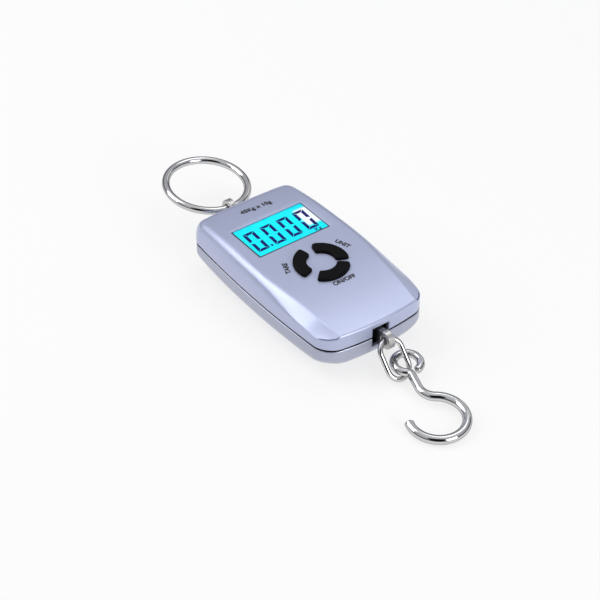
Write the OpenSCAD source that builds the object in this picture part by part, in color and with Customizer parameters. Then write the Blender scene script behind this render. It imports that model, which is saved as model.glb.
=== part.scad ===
// Digital luggage scale lying on its back, as it would on a table.
// Millimetres. The origin is the middle of the flat back: +Z points out of the display,
// +Y towards the hanging ring and +X to the right of someone reading the display.

/* [Housing] */
// Width of the housing across its middle
body_w = 50; // [48:0.5:56]
// Length of the housing along its middle, were both ends as far out as the hook end
body_l = 89.5; // [88:0.5:100]
// How much nearer to the middle the ring end lies
ring_cut = 2.1; // [0:0.1:3]
// Height of the front face's crest above the flat back
body_t = 23; // [22.6:0.2:25]
// Height of the parting plane, and of the load line, above the flat back
parting_z = 12.7; // [12.6:0.1:13.4]
// How far each long side draws in from its middle to its ends
side_bow = 2; // [0:0.25:3]
// How far the hook end draws in from its middle to its corners
end_bow = 2.6; // [0:0.2:4]
// How far the ring end draws in from its middle to its corners
ring_bow = 1; // [0:0.2:2]
// Corner radius of the outline at the hook end
corner_r = 7; // [5:0.5:10]
// Corner radius of the outline at the ring end
ring_corner_r = 5; // [4:0.5:10]
// Wall thickness of both housings
wall = 1.6; // [1.2:0.1:2]
// Thickness of the front face
skin = 2; // [1.8:0.1:2.1]
// Height at which the rear wall starts to turn in towards the flat back
rim_z = 7.6; // [6.5:0.1:9]
// How much higher that turn lies at the ends
rim_lift = 1; // [0:0.25:1.5]
// How far the back draws in at the sides
belly_side = 6.6; // [5:0.2:7]
// How far the back draws in at the ends
belly_end = 12; // [8:0.5:13]
// Thickness of the rear floor
floor_t = 3; // [2.8:0.1:3.4]
// Width of the slot that a hanger comes out of
slot_w = 7.3; // [6:0.1:9]
// Height of the slot that a hanger comes out of
slot_h = 8; // [7.6:0.1:9]

/* [Front face] */
// Place where the level front face begins to fall to the ring end
crest_y = 18; // [12:1:22]
// Fall of the front face at the ring end
ring_drop = 1.9; // [0.6:0.1:2.2]
// Place where the level front face begins to fall to the hook end
fall_y = 0; // [-4:1:6]
// Fall of the front face at the hook end
hook_drop = 3.8; // [3:0.2:4.8]
// How late that fall comes
fall_p = 2.5; // [2:0.1:3]
// Width of the raised panel beside the display
panel_w = 39.6; // [38:0.2:42]
// How much narrower each side of the panel is at the hook end
panel_taper = 1; // [0:0.2:3]
// Place where the panel begins to narrow towards the hook end
taper_y = 2; // [-4:1:10]
// Length over which it narrows
taper_l = 34; // [26:1:42]
// Fall of the panel from its middle line to the sides
panel_bow = 0.2; // [0.1:0.05:0.5]
// Height of the side wall above the parting plane at the middle
side_h = 6; // [5:0.1:7]
// Rise of the side wall's top from the middle to the ring end
side_rise = 0.2; // [0:0.1:1]
// Extra fall of the side wall's top at both ends
side_fall = 0.5; // [0:0.1:1]
// Height of the step between panel and shoulder at the hook end
step_h = 0.8; // [0:0.1:1]
// Length over which that step fades out
step_l = 10; // [8:1:20]
// Rounding of the front face's outer edge
edge_r = 2.6; // [0.8:0.1:3]

/* [Display] */
// Width of the clear window
window_w = 32.3; // [28:0.1:33]
// Height of the clear window along the housing
window_h = 19; // [16:0.1:19.6]
// Place of the window's centre along the housing
window_y = 16.2; // [15.8:0.1:17]
// Thickness of the clear window
window_t = 1.2; // [0.9:0.1:1.4]
// Depth of the window below the crest
window_sink = 0.45; // [0.4:0.05:0.6]
// Width of the ledge that carries the window
ledge = 1; // [0.7:0.1:1.5]
// Thickness of the liquid crystal glass
lcd_t = 1.5; // [1.2:0.1:1.6]
// Thickness of the backlight
backlight_t = 1.4; // [1:0.1:1.5]
// Wall of the frame round the display
frame_wall = 1; // [0.8:0.1:1.2]

/* [Keys] */
// Outer radius of the ring of keys
key_ro = 10.6; // [10:0.1:11.4]
// Inner radius of the ring of keys
key_ri = 5.6; // [4.8:0.1:6.4]
// Place of the ring of keys along the housing
key_y = -9.3; // [-10.2:0.1:-9]
// Angle that one key spans
key_span = 94; // [84:1:100]
// How far the keys stand proud of the front face
key_proud = 1.3; // [0.8:0.1:1.6]
// Travel of a key
key_travel = 0.7; // [0.4:0.05:0.8]
// Thickness of the rubber mat under the keys
mat_t = 0.5; // [0.4:0.1:0.6]

/* [Load train] */
// Width of the load cell
cell_beam_w = 9; // [8:0.2:9.6]
// Thickness of the load cell
cell_beam_t = 6; // [5.6:0.1:6.2]
// Length of the load cell
cell_beam_l = 72; // [68:1:76]
// Diameter of the load cell's two flexure holes
flexure_d = 4; // [3:0.2:4.4]
// Thickness of the hanger plates
hanger_t = 2.6; // [2.4:0.1:3.6]
// Radius of a hanger's eye
hanger_r = 3.6; // [3.4:0.1:3.75]
// Diameter of the pins that hold the hangers in the load cell
pin_d = 2.5; // [2:0.1:2.8]

/* [Ring] */
// Radius of the ring to the middle of its wire
ring_r = 16.2; // [14:0.2:20]
// Diameter of the ring's wire
ring_d = 3; // [2.4:0.1:3.2]
// Distance of the ring's eye from the housing's end
ring_out = 5.2; // [4.6:0.1:8]
// Rise of the ring from level as it lies
ring_tilt = 5.5; // [0:0.5:8]
// Lean of the ring to the right as it lies
ring_lean = 4.5; // [0:0.5:6]

/* [Link] */
// Diameter of the chain link's wire
link_d = 2; // [1.6:0.1:2.2]
// Length of the link between the middles of its two ends
link_pitch = 15.2; // [14.4:0.1:18]
// Half the link's width to the middle of its wire
link_half = 4.55; // [4.4:0.05:5]
// Distance of the link's eye from the housing's end
link_out = 3.25; // [3:0.05:5]

/* [Hook] */
// Diameter of the hook's wire
hook_d = 3.5; // [3:0.1:3.6]
// Diameter of the wire in the hook's eye
eye_d = 3; // [2.6:0.1:3.1]
// Radius of the hook's eye to the middle of its wire
eye_r = 4.9; // [4.8:0.05:5.4]
// Radius of the hook's bowl to the middle of its wire
bowl_r = 10.35; // [9:0.05:12]
// Distance from the eye's centre to the bowl's centre
hook_l = 28.5; // [27:0.5:36]
// Distance from the eye's centre to the end of the straight neck
neck_l = 13; // [11:0.5:14]
// How far the neck lies to the left of the line from eye to bowl
neck_side = 0.7; // [0:0.1:1.5]
// How far the tip passes the bowl's widest point
tip_angle = 5; // [-20:1:30]
// Turn of the hook on the table away from the housing's line
hook_yaw = 17; // [0:1:20]

/* [Battery] */
// Diameter of a battery cell
cell_d = 10.5; // [10:0.1:10.6]
// Length of a battery cell with its contact nub
cell_l = 44.5; // [43:0.1:45]
// Thickness of the battery door
door_t = 1.5; // [1.2:0.05:1.6]
// Width of the battery door
door_w = 35; // [34.8:0.1:35.4]
// Length of the battery door
door_l = 52; // [51:0.5:54]
// Sheet thickness of the battery contacts
contact_t = 0.4; // [0.3:0.05:0.5]

/* [Board and fasteners] */
// Thickness of the circuit board
board_t = 1; // [0.8:0.1:1.1]
// Width of the circuit board
board_w = 39.6; // [39.2:0.2:40.4]
// Diameter of a housing screw's thread
screw_d = 2; // [1.6:0.1:2.4]
// Diameter of a housing screw's head
head_d = 4; // [3.6:0.1:4.2]
// Distance of the housing screws from the middle line
screw_x = 17; // [16.6:0.1:17.2]
// Distance of the housing screws from the middle along the housing
screw_y = 35.5; // [35:0.1:36]

/* [Clearances] */
// Gap between pieces that slide or lift past each other
move_gap = 0.25; // [0.15:0.05:0.3]
// Gap between pieces that are set into each other
seat_gap = 0.1; // [0.05:0.05:0.15]
// Radial gap round a pin or screw
pin_gap = 0.02; // [0.01:0.01:0.05]
// Radial gap round a wire in its eye
wire_gap = 0.5; // [0.4:0.05:0.6]
// Gap between the loose metal and the table
table_gap = 0.2; // [0.1:0.05:0.3]

/* [Hidden] */
$fn = 64;

// Fineness of the outline and of the front face
corner_steps = 6;
side_steps = 6;
grid_n = 10;
grid_m = 10;
belly_steps = 5;
// The front face is drawn a little past the outline, and cuts reach past what they cut
over = 1.02;
past = 1;
corner_min = 1;
// How round the shoulder is towards the ring end, and how flat at the hook end
round_p = 2.2;
flat_p = 1.2;
belly_p = 1.5;

// Places that follow from the sizes above
half_w = body_w / 2;
half_l = body_l / 2;
ring_l = half_l - ring_cut;
beam_top = parting_z + cell_beam_t / 2;
beam_low = parting_z - cell_beam_t / 2;
board_lift = 0.2;
board_z = beam_top + board_lift;
board_top = board_z + board_t;
lens_top = body_t - window_sink;
ledge_z = lens_top - window_t;
backlight_z = board_top + seat_gap;
lcd_z = backlight_z + backlight_t + seat_gap;
lcd_top = lcd_z + lcd_t;
lcd_w = window_w + 2 * frame_wall;
lcd_h = window_h + 2 * frame_wall;
zebra_w = 1.6;
zebra_in = 2;
frame_w = lcd_w + 2 * (frame_wall + seat_gap);
frame_h = lcd_h + 2 * (frame_wall + seat_gap);

// The keys sit square to the front face where their ring is centred
fall_l = fall_y + half_l;
key_slope = atan(fall_p * hook_drop / fall_l * pow(max(fall_y - key_y, 0) / fall_l, fall_p - 1));
key_z = crest_z(key_y);
key_mid = (key_ro + key_ri) / 2;
key_gap_a = move_gap / key_ri * 180 / PI;
flange_w = 0.5;
flange_t = 0.7;
// Toward the hook end the skin falls away from the keys' plane, and their flanges clear it there
key_sag = max(0, key_z - (key_ro + flange_w) * tan(key_slope) - crest_z(key_y - key_ro - flange_w));
flange_top = skin + key_sag + move_gap;
key_angles = [151, 26, -86];
dome_r = 2.2;
mat_rim = 1.2;
mat_top = board_top + mat_t;

// The load train runs along the parting plane
pin_in = 5;
pin_y = cell_beam_l / 2 - pin_in;
fork_l = 10.5;
ring_y = half_l + ring_out;
link_y = -half_l - link_out;
ring_hole = ring_d / 2 + wire_gap;
// The tight bend of the link needs a little more room than the ring
bend_room = 0.2;
link_hole = link_d / 2 + wire_gap + bend_room;
flexure_y = 6.5;
beam_screw_d = 2.5;
beam_head_d = 4.4;
beam_head = 1.5;
beam_sink = 1.7;
beam_screw_y = [15, 21];

// The link slopes down until it nearly meets the table, and the hook's eye lies over its lower end
link_slope = asin((parting_z - link_d / 2 - table_gap) / link_pitch);
link_end = [0, link_y - link_pitch * cos(link_slope), parting_z - link_pitch * sin(link_slope)];
cross_a = 215;
cross_gap = 0.75;
eye_pos = link_end + [-eye_r * cos(cross_a), -eye_r * sin(cross_a), link_d / 2 + eye_d / 2 + cross_gap];
hook_tilt = atan((eye_pos.z - hook_d / 2 - table_gap / 4) / (hook_l + bowl_r));
bend_r = (pow(neck_side, 2) + pow(hook_l - neck_l, 2) - pow(bowl_r, 2)) / (2 * (bowl_r + neck_side));
bend_a = atan2(hook_l - neck_l, bend_r - neck_side);
// A slight swelling where the hook's bends meet
bead_d = hook_d + seat_gap;
bead_a = 1;

// The two cells lie on either side of the load cell
bay_wall = 0.8;
cell_x = cell_beam_w / 2 + move_gap + bay_wall + move_gap + cell_d / 2;
cell_z = door_t + 2 * seat_gap + move_gap + cell_d / 2;
bay_w = cell_d + 2 * move_gap;
spring_l = 2.6;
bay_l = cell_l + spring_l + 2 * contact_t;
bay_top = cell_z + cell_d / 2 + move_gap;
nub_l = 0.8;
nub_d = 3.8;
contact_w = 8;
tab_w = 3;
door_z = 0;
recess_z = door_z + door_t + 2 * seat_gap;
latch_w = 9;
latch_l = 1.6;

board_y0 = -27;
board_y1 = 32.6;
board_holes = [[16.4, -24.2], [-16.4, -24.2], [10, 30.3], [-10, 30.3]];
board_screw_d = 1.6;
board_head_d = 3;
board_head = 0.8;
board_bite = 1.8;
boss_wall = 1.2;
screw_seat = 8.2;
screw_head = 1.3;
screw_tip = parting_z + 3.4;

// Plain helpers for the curves below
function ease(t) = let (c = min(max(t, 0), 1)) c * c * (3 - 2 * c);
function mix(a, b, t) = a + (b - a) * t;

// Outline of the housing seen from above, drawn in by d on every side
function corner(k, hw, hl, r) =
    let (sx = (k == 0 || k == 3) ? 1 : -1, sy = k < 2 ? 1 : -1)
    [for (i = [0 : corner_steps])
        let (t = 90 * (k + i / corner_steps))
        [sx * (hw - r) + r * cos(t), sy * (hl - r) + r * sin(t)]];
function between(a, b) = [for (i = [1 : side_steps - 1]) mix(a, b, i / side_steps)];
function bowed(p) = [p.x * (1 - side_bow / half_w * pow(p.y / half_l, 2)),
                     p.y / half_l * (p.y > 0 ? ring_l - ring_bow * pow(p.x / half_w, 2)
                                             : half_l - end_bow * pow(p.x / half_w, 2))];
function outline(d) =
    let (c = [for (k = [0 : 3])
        corner(k, half_w - d, half_l - d, max((k < 2 ? ring_corner_r : corner_r) - d, corner_min))])
    [for (k = [0 : 3])
        each [for (p = concat(c[k], between(c[k][corner_steps], c[(k + 1) % 4][0]))) bowed(p)]];

// Height of the front face: a crowned panel, shoulders that fall to the side walls, rounded edges
function crest_z(y) =
    body_t - hook_drop * pow(max(fall_y - y, 0) / fall_l, fall_p)
           - ring_drop * pow(max(y - crest_y, 0) / (half_l - crest_y), 2);
function panel_half(y) = panel_w / 2 - panel_taper * ease((taper_y - y) / taper_l);
function rail_z(y) = parting_z + side_h + side_rise * y / half_l - side_fall * pow(y / half_l, 2);
function shoulder_p(y) = mix(flat_p, round_p, ease((y - taper_y + taper_l) / taper_l));
function step_z(y) = step_h * ease((step_l - half_l - y) / step_l);
function rounding(d) = d >= edge_r ? 0 : edge_r - sqrt(pow(edge_r, 2) - pow(edge_r - max(d, 0), 2));
function face_z(x, y) =
    let (inner = panel_half(y), t = (abs(x) - inner) / (half_w - inner),
         panel = crest_z(y) - panel_bow * pow(x / half_w, 2))
    t <= 0 ? panel : mix(panel - step_z(y), rail_z(y), pow(t, shoulder_p(y)));

// A solid under the front face, lowered by drop and flat at the parting plane less past
module under_face(drop) {
    xs = [for (i = [-grid_n : grid_n]) half_w * over * sin(90 * i / grid_n)];
    ys = [for (j = [-grid_m : grid_m]) half_l * over * sin(90 * j / grid_m)];
    cols = len(xs);
    rows = len(ys);
    top = [for (y = ys) for (x = xs)
        let (p = bowed([x, y]))
        [p.x, p.y, face_z(x, y) - drop - rounding(half_l - abs(y))]];
    rim = concat([for (i = [0 : cols - 1]) i],
                 [for (j = [1 : rows - 1]) j * cols + cols - 1],
                 [for (i = [cols - 2 : -1 : 0]) (rows - 1) * cols + i],
                 [for (j = [rows - 2 : -1 : 1]) j * cols]);
    base = [for (k = rim) [top[k].x, top[k].y, parting_z - past]];
    n = len(rim);
    first = len(top);
    roof = [for (j = [0 : rows - 2]) for (i = [0 : cols - 2])
        let (a = j * cols + i, b = a + cols)
        each [[a, b, b + 1], [a, b + 1, a + 1]]];
    sides = [for (k = [0 : n - 1]) [rim[k], rim[(k + 1) % n], first + (k + 1) % n, first + k]];
    polyhedron(concat(top, base), concat(roof, sides, [[for (k = [0 : n - 1]) first + k]]));
}

module front_form(inset, drop) {
    intersection() {
        translate([0, 0, parting_z - (inset > 0 ? past / 2 : 0)])
            linear_extrude(body_t)
                polygon(outline(inset));
        under_face(drop);
    }
}

// A solid through a stack of like outlines, from the lowest to the highest
module loft(rings) {
    n = len(rings[0]);
    last = len(rings) - 1;
    sides = [for (r = [0 : last - 1]) for (k = [0 : n - 1])
        let (a = r * n + k, b = r * n + (k + 1) % n)
        each [[a + n, b + n, b], [a + n, b, a]]];
    foot = [for (k = [0 : n - 1]) k];
    head = [for (k = [n - 1 : -1 : 0]) last * n + k];
    polyhedron([for (r = rings) each r], concat(sides, [foot, head]));
}

// One outline of the rear wall: f is how far it is drawn in, g how far up the turn it lies
function rear_ring(inset, f, g, lift) =
    [for (p = outline(inset))
        [p.x * (1 - f * belly_side / half_w), p.y * (1 - f * belly_end / half_l),
         lift * (1 - g) + g * (rim_z + rim_lift * pow(p.y / half_l, 4))]];
module rear_form(inset, lift, top) {
    turn = [for (i = [0 : belly_steps])
        let (t = 90 * i / belly_steps)
        rear_ring(inset, 1 - pow(sin(t), belly_p), 1 - pow(cos(t), belly_p), lift)];
    loft(concat(turn, [[for (p = outline(inset)) [p.x, p.y, top]]]));
}

module block(lo, hi) {
    translate(lo)
        cube(hi - lo);
}

module upright(p, d, z0, z1) {
    translate([p.x, p.y, z0])
        cylinder(d = d, h = z1 - z0);
}

module both_sides() {
    children();
    mirror([1, 0, 0])
        children();
}

module slots() {
    for (s = [-1, 1])
        translate([-slot_w / 2, s > 0 ? ring_l - 3 * wall : -half_l - past, parting_z - slot_h / 2])
            cube([slot_w, 3 * wall + past, slot_h]);
}

function screw_places() = [for (sx = [-1, 1]) for (sy = [-1, 1]) [sx * screw_x, sy * screw_y]];

module rear_housing() {
    post_d = beam_screw_d + 2 * boss_wall;
    color([0.74, 0.75, 0.88])
        difference() {
            union() {
                difference() {
                    rear_form(0, 0, parting_z);
                    difference() {
                        rear_form(wall, floor_t, parting_z + past);
                        both_sides()
                            block([cell_x - bay_w / 2 - bay_wall, -bay_l / 2 - bay_wall, 0],
                                  [cell_x + bay_w / 2 + bay_wall, bay_l / 2 + bay_wall,
                                   parting_z + 2 * past]);
                        for (y = beam_screw_y)
                            upright([0, y], post_d, 0, beam_low);
                        for (p = screw_places())
                            upright(p, head_d + 2 * (boss_wall + move_gap), 0, parting_z + 2 * past);
                    }
                }
                both_sides()
                    block([cell_x - bay_w / 2 - bay_wall, -bay_l / 2 - bay_wall, parting_z - past],
                          [cell_x + bay_w / 2 + bay_wall, bay_l / 2 + bay_wall, bay_top + bay_wall]);
            }
            both_sides()
                block([cell_x - bay_w / 2, -bay_l / 2, -past], [cell_x + bay_w / 2, bay_l / 2, bay_top]);
            both_sides()
                block([cell_x - tab_w / 2 - move_gap, bay_l / 2 - contact_t - seat_gap, bay_top - past],
                      [cell_x + tab_w / 2 + move_gap, bay_l / 2, bay_top + 2 * past]);
            block([-cell_x, -bay_l / 2, cell_z - contact_w / 4 - seat_gap],
                  [cell_x, -bay_l / 2 + contact_t + 2 * seat_gap, cell_z + contact_w / 4 + seat_gap]);
            block([-door_w / 2 - move_gap, -door_l / 2 - move_gap, -past],
                  [door_w / 2 + move_gap, door_l / 2 + move_gap, recess_z]);
            block([-latch_w / 2 - move_gap, door_l / 2, -past],
                  [latch_w / 2 + move_gap, door_l / 2 + latch_l + move_gap, recess_z]);
            slots();
            for (y = beam_screw_y)
                upright([0, y], beam_screw_d + 2 * pin_gap, floor_t + past, beam_low + past);
            for (p = screw_places()) {
                upright(p, screw_d + 2 * move_gap, -past, parting_z + past);
                upright(p, head_d + 2 * move_gap, -past, screw_seat);
            }
        }
}

module key_sector(ri, ro, a, span, z0, z1) {
    translate([0, key_y, key_z])
        rotate([key_slope, 0, 0])
            rotate([0, 0, a - span / 2])
                rotate_extrude(angle = span)
                    translate([ri, z0])
                        square([ro - ri, z1 - z0]);
}

module front_housing() {
    boss_d = screw_d + 2 * boss_wall;
    color([0.79, 0.8, 0.93])
        difference() {
            front_form(0, 0);
            difference() {
                front_form(wall, skin);
                for (p = screw_places())
                    upright(p, boss_d, parting_z - past, body_t);
                for (p = board_holes)
                    upright(p, board_screw_d + 2 * boss_wall, board_top, body_t);
            }
            translate([0, window_y, 0]) {
                block([-window_w / 2 - seat_gap, -window_h / 2 - seat_gap, ledge_z],
                      [window_w / 2 + seat_gap, window_h / 2 + seat_gap, body_t + past]);
                block([-window_w / 2 + ledge, -window_h / 2 + ledge, parting_z],
                      [window_w / 2 - ledge, window_h / 2 - ledge, body_t + past]);
            }
            for (a = key_angles)
                key_sector(key_ri - move_gap, key_ro + move_gap, a, key_span + 2 * key_gap_a,
                           -flange_top, key_proud + past);
            slots();
            for (p = screw_places())
                upright(p, screw_d + 2 * pin_gap, parting_z - past, screw_tip + seat_gap);
            for (p = board_holes)
                upright(p, board_screw_d + 2 * pin_gap, board_z, board_top + board_bite + seat_gap);
        }
}

module battery_door() {
    color([0.72, 0.73, 0.86])
        union() {
            block([-door_w / 2, -door_l / 2, door_z], [door_w / 2, door_l / 2, door_z + door_t]);
            block([-latch_w / 2, door_l / 2 - past, door_z],
                  [latch_w / 2, door_l / 2 + latch_l, door_z + door_t]);
        }
}

module display_window() {
    color([0.8, 0.95, 0.97, 0.4])
        translate([0, window_y, 0])
            block([-window_w / 2, -window_h / 2, ledge_z], [window_w / 2, window_h / 2, lens_top]);
}

module lcd_panel() {
    color([0.05, 0.95, 0.95])
        translate([0, window_y, 0])
            block([-lcd_w / 2, -lcd_h / 2, lcd_z], [lcd_w / 2, lcd_h / 2, lcd_top]);
}

module backlight_panel() {
    color([0.9, 0.97, 1])
        translate([0, window_y, 0])
            block([-lcd_w / 2, -lcd_h / 2 + zebra_w + 2 * seat_gap, backlight_z],
                  [lcd_w / 2, lcd_h / 2, backlight_z + backlight_t]);
}

module zebra_strip() {
    color([0.9, 0.55, 0.65])
        translate([0, window_y, 0])
            block([-lcd_w / 2 + zebra_in, -lcd_h / 2 + seat_gap, board_top],
                  [lcd_w / 2 - zebra_in, -lcd_h / 2 + seat_gap + zebra_w, lcd_z]);
}

module lcd_frame() {
    color([0.92, 0.92, 0.9])
        translate([0, window_y, 0])
            difference() {
                block([-frame_w / 2, -frame_h / 2, board_top], [frame_w / 2, frame_h / 2, lcd_top]);
                block([-lcd_w / 2 - seat_gap, -lcd_h / 2 - seat_gap, board_top - past],
                      [lcd_w / 2 + seat_gap, lcd_h / 2 + seat_gap, lcd_top + past]);
            }
}

module circuit_board() {
    color([0.1, 0.45, 0.25])
        difference() {
            block([-board_w / 2, board_y0, board_z], [board_w / 2, board_y1, board_top]);
            for (p = board_holes)
                upright(p, board_screw_d + 2 * move_gap, board_z - past, board_top + past);
        }
}

module controller_chip() {
    chip = [9, 9, 1.2];
    chip_y = 6;
    color([0.1, 0.1, 0.11])
        translate([-cell_x - chip.x / 2, chip_y, board_z - chip.z])
            cube(chip);
}

function key_place(a) = [key_mid * cos(a), key_y + key_mid * sin(a) * cos(key_slope)];

module keypad_mat() {
    edge = key_ro + mat_rim;
    under_key = key_z - (flange_top + flange_t) / cos(key_slope);
    color([0.25, 0.25, 0.27])
        union() {
            block([-edge, key_y - edge, board_top], [edge, key_y + edge, mat_top]);
            for (a = key_angles) {
                p = key_place(a);
                upright(p, 2 * dome_r, board_top,
                        under_key + (p.y - key_y - dome_r) * tan(key_slope) - key_travel - move_gap);
            }
        }
}

module key(a) {
    color([0.06, 0.06, 0.07])
        union() {
            key_sector(key_ri, key_ro, a, key_span, -flange_top - flange_t, key_proud);
            key_sector(key_ri - flange_w, key_ro + flange_w, a, key_span,
                       -flange_top - flange_t, -flange_top);
        }
}

module button_tare() {
    key(key_angles[0]);
}

module button_unit() {
    key(key_angles[1]);
}

module button_on_off() {
    key(key_angles[2]);
}

// Lays a flat outline drawn in Y and Z on edge, as thick as t along X
module on_edge(t) {
    rotate([90, 0, 90])
        linear_extrude(t, center = true)
            children();
}

module load_cell() {
    color([0.8, 0.81, 0.83])
        difference() {
            block([-cell_beam_w / 2, -cell_beam_l / 2, beam_low],
                  [cell_beam_w / 2, cell_beam_l / 2, beam_top]);
            on_edge(cell_beam_w + 2 * past)
                translate([0, parting_z]) {
                    for (s = [-1, 1]) {
                        translate([s * flexure_y, 0])
                            circle(d = flexure_d);
                        translate([s * pin_y, 0])
                            circle(d = pin_d + 2 * pin_gap);
                    }
                    square([2 * flexure_y, past], center = true);
                }
            for (s = [-1, 1])
                translate([0, s * (cell_beam_l / 2 - fork_l / 2 + past / 2), parting_z])
                    cube([hanger_t + 2 * seat_gap, fork_l + past, cell_beam_t + 2 * past], center = true);
            for (y = beam_screw_y) {
                upright([0, y], beam_screw_d + 2 * move_gap, beam_low - past, beam_top + past);
                upright([0, y], beam_head_d + 2 * move_gap, beam_top - beam_sink, beam_top + past);
            }
        }
}

module strain_gauges() {
    pad = [5, 7, 0.12];
    color([0.85, 0.65, 0.3])
        for (z = [beam_low - pad.z, beam_top])
            translate([-pad.x / 2, -pad.y / 2, z])
                cube(pad);
}

module gauge_lead() {
    lead_w = 6;
    lead_t = 0.2;
    color([0.8, 0.5, 0.2])
        block([cell_beam_w / 2, -lead_w / 2, parting_z], [cell_beam_w / 2 + lead_t, lead_w / 2, board_z]);
}

// A plate with an eye at y and a tail that is pinned in the load cell
module hanger(y, hole) {
    tail = sign(y) * pin_y;
    tail_r = cell_beam_t / 2 - seat_gap;
    color([0.7, 0.71, 0.73])
        on_edge(hanger_t)
            translate([0, parting_z])
                difference() {
                    union() {
                        translate([y, 0])
                            circle(r = hanger_r);
                        translate([tail, 0])
                            circle(r = tail_r);
                        translate([min(y, tail), -tail_r])
                            square([abs(y - tail), 2 * tail_r]);
                    }
                    translate([y, 0])
                        circle(r = hole);
                    translate([tail, 0])
                        circle(d = pin_d + 2 * pin_gap);
                }
}

module top_hanger() {
    hanger(ring_y, ring_hole);
}

module bottom_hanger() {
    hanger(link_y, link_hole);
}

module hanger_pins() {
    color([0.6, 0.61, 0.63])
        for (s = [-1, 1])
            translate([-cell_beam_w / 2, s * pin_y, parting_z])
                rotate([0, 90, 0])
                    cylinder(d = pin_d, h = cell_beam_w);
}

module bent_wire(r, d, a0, a1) {
    rotate([0, 0, a0])
        rotate_extrude(angle = a1 - a0)
            translate([r, 0])
                circle(d = d);
}

module straight_wire(x, y0, y1, d) {
    translate([x, y1, 0])
        rotate([90, 0, 0])
            cylinder(d = d, h = y1 - y0);
}

module hanging_ring() {
    color([0.85, 0.86, 0.88])
        translate([0, ring_y, parting_z])
            rotate([ring_tilt, ring_lean, 0])
                translate([0, ring_r, 0])
                    bent_wire(ring_r, ring_d, 0, 360);
}

module chain_link() {
    color([0.85, 0.86, 0.88])
        translate([0, link_y, parting_z])
            rotate([link_slope, 0, 0])
                union() {
                    translate([0, -link_half, 0])
                        bent_wire(link_half, link_d, 0, 180);
                    translate([0, link_half - link_pitch, 0])
                        bent_wire(link_half, link_d, 180, 360);
                    for (s = [-1, 1])
                        straight_wire(s * link_half, link_half - link_pitch, -link_half, link_d);
                }
}

module hook() {
    color([0.85, 0.86, 0.88])
        translate(eye_pos)
            rotate([hook_tilt, 0, -hook_yaw])
                union() {
                    bent_wire(eye_r, eye_d, 0, 360);
                    straight_wire(-neck_side, -neck_l, -sqrt(pow(eye_r, 2) - pow(neck_side, 2)), hook_d);
                    translate([bend_r - neck_side, -neck_l, 0])
                        bent_wire(bend_r, hook_d, 180 + bead_a, 180 + bend_a - bead_a);
                    translate([0, -hook_l, 0])
                        bent_wire(bowl_r, hook_d, -180 - tip_angle, bend_a);
                    translate([-neck_side, -neck_l, 0])
                        sphere(d = bead_d);
                    translate([bowl_r * cos(bend_a), bowl_r * sin(bend_a) - hook_l, 0])
                        sphere(d = bead_d);
                }
}

// Cells lie head to tail: the right one has its nub at the ring end, the left one at the hook end
module cell() {
    translate([cell_x, bay_l / 2 - contact_t, cell_z])
        rotate([90, 0, 0])
            union() {
                translate([0, 0, nub_l])
                    cylinder(d = cell_d, h = cell_l - nub_l);
                cylinder(d = nub_d, h = nub_l);
            }
}

module battery_cells() {
    color([0.2, 0.22, 0.25])
        union() {
            cell();
            rotate([0, 0, 180])
                cell();
        }
}

// A bent tongue that presses on the flat end of a cell, drawn at the hook end of the right bay
module tongue() {
    y0 = -bay_l / 2 + contact_t;
    reach = spring_l - seat_gap;
    translate([cell_x, 0, cell_z])
        on_edge(contact_w / 2)
            polygon([[y0, contact_w / 2], [y0 + reach, contact_w / 4], [y0 + reach, -contact_w / 4],
                     [y0 + reach - contact_t, -contact_w / 4],
                     [y0 + reach - contact_t, contact_w / 4 - contact_t],
                     [y0, contact_w / 2 - 2 * contact_t]]);
}

module plate_contact() {
    translate([cell_x - contact_w / 2, -bay_l / 2, cell_z - contact_w / 2])
        cube([contact_w, contact_t, contact_w]);
}

module terminal_contacts() {
    color([0.78, 0.79, 0.8]) {
        for (s = [1, -1])
            block([s * cell_x - tab_w / 2, bay_l / 2 - contact_t, cell_z - contact_w / 2],
                  [s * cell_x + tab_w / 2, bay_l / 2, board_z]);
        rotate([0, 0, 180]) {
            plate_contact();
            tongue();
        }
        mirror([0, 1, 0])
            plate_contact();
    }
}

module bridge_contact() {
    color([0.78, 0.79, 0.8])
        union() {
            plate_contact();
            mirror([1, 0, 0])
                plate_contact();
            tongue();
            block([-cell_x, -bay_l / 2, cell_z - contact_w / 4],
                  [cell_x, -bay_l / 2 + contact_t, cell_z + contact_w / 4]);
        }
}

// A screw driven along +Z, with a slot across its head
module screw(p, d, head, head_t, z_head, z_tip) {
    slot = [head * 0.8, 0.5, head_t * 0.6];
    difference() {
        union() {
            upright(p, head, z_head - head_t, z_head);
            upright(p, d, z_head - head_t, z_tip);
        }
        translate([p.x - slot.x / 2, p.y - slot.y / 2, z_head - head_t - slot.z / 2])
            cube([slot.x, slot.y, slot.z]);
    }
}

module housing_screws() {
    color([0.45, 0.46, 0.48])
        for (p = screw_places())
            screw(p, screw_d, head_d, screw_head, screw_seat, screw_tip);
}

module board_screws() {
    color([0.6, 0.61, 0.63])
        for (p = board_holes)
            screw(p, board_screw_d, board_head_d, board_head, board_z, board_top + board_bite);
}

module beam_screws() {
    color([0.5, 0.51, 0.53])
        for (y = beam_screw_y)
            translate([0, 0, beam_top - beam_sink])
                mirror([0, 0, 1])
                    screw([0, y], beam_screw_d, beam_head_d, beam_head, 0,
                          beam_top - beam_sink - floor_t - past - seat_gap);
}

rear_housing();
front_housing();
battery_door();
display_window();
lcd_panel();
backlight_panel();
lcd_frame();
zebra_strip();
circuit_board();
controller_chip();
keypad_mat();
button_tare();
button_unit();
button_on_off();
load_cell();
strain_gauges();
gauge_lead();
top_hanger();
bottom_hanger();
hanger_pins();
hanging_ring();
chain_link();
hook();
battery_cells();
terminal_contacts();
bridge_contact();
housing_screws();
board_screws();
beam_screws();
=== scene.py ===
import math

import bmesh
import bpy
from mathutils import Matrix, Vector


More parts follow.
